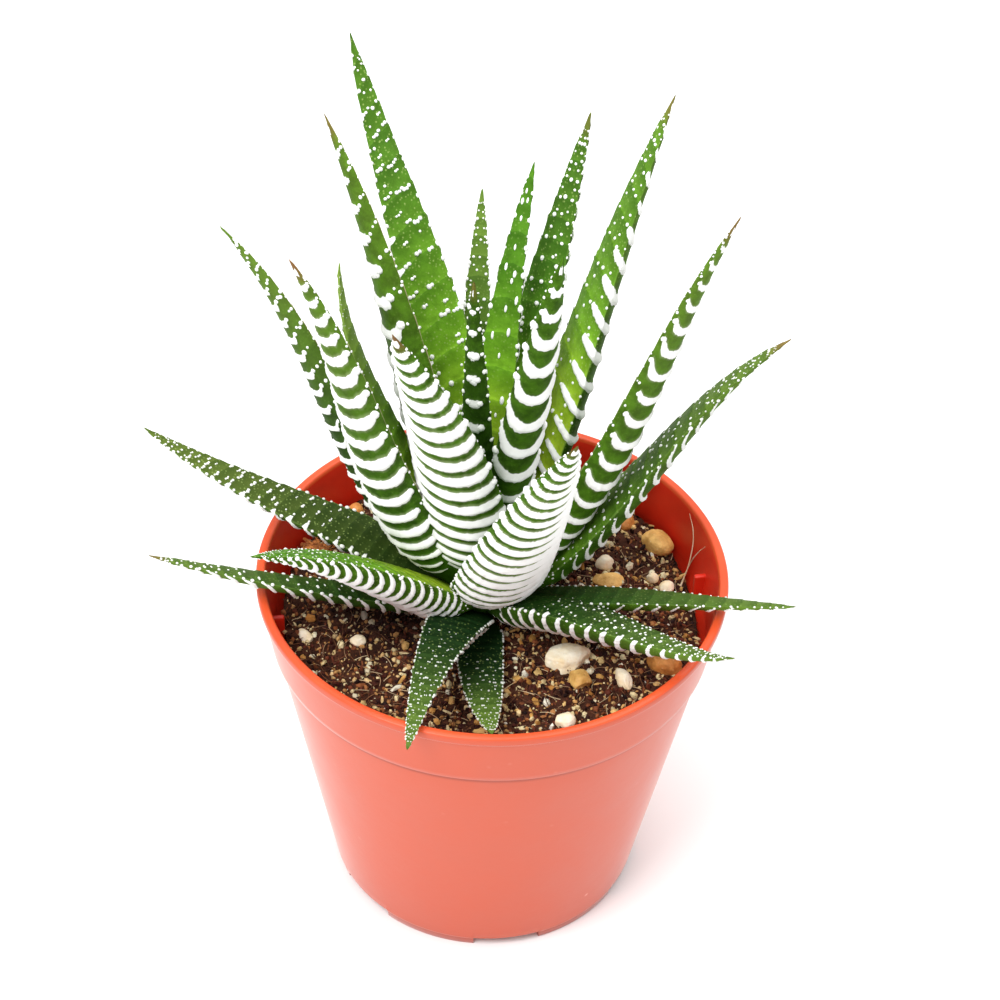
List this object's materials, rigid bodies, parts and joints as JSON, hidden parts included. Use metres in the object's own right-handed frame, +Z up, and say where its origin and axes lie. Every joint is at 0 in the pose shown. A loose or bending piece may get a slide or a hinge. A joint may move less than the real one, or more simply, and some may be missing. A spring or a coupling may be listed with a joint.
{
  "type": "potted succulent plant",
  "caption": "Rosette of pointed dark green succulent leaves with raised white cross bands, in gritty soil in a tapered terracotta-coloured plastic nursery pot.",
  "frame": {"origin": "middle of the pot's underside, on the surface it stands on", "axes": "+Z up along the pot's axis, +Y towards the back of the plant, +X to the right seen from the front"},
  "size_m": [0.1168, 0.1045, 0.1549],
  "materials": {
    "pot_plastic": "satin",
    "soil": "matte",
    "leaf": "satin",
    "stem": "matte",
    "stone_tan": "matte",
    "stone_orange": "matte",
    "stone_pale": "matte",
    "bark": "matte"
  },
  "bodies": {
    "root": {"pot": "pot_plastic", "soil": "soil", "stem": "stem", "leaf_01": "leaf", "leaf_02": "leaf", "leaf_03": "leaf", "leaf_04": "leaf", "leaf_05": "leaf", "leaf_06": "leaf", "leaf_07": "leaf", "leaf_08": "leaf", "leaf_09": "leaf", "leaf_10": "leaf", "leaf_11": "leaf", "leaf_12": "leaf", "leaf_13": "leaf", "leaf_14": "leaf", "leaf_15": "leaf", "leaf_16": "leaf", "leaf_17": "leaf", "leaf_18": "leaf", "leaf_19": "leaf", "leaf_20": "leaf", "leaf_21": "leaf", "leaf_22": "leaf", "leaf_23": "leaf", "leaf_24": "leaf", "leaf_25": "leaf", "stone_tan": "stone_tan", "stone_orange": "stone_orange", "stone_cream": "stone_pale", "stone_ochre": "stone_tan", "stone_white_a": "stone_pale", "stone_white_b": "stone_pale", "stone_pale": "stone_pale", "stone_rough": "stone_tan", "stone_wedge": "stone_pale", "stone_brown": "stone_orange", "stone_white_c": "stone_pale", "stone_chip_a": "stone_pale", "stone_chip_b": "stone_pale", "stone_pink": "stone_orange", "bark": "bark"}
  },
  "joints": []
}
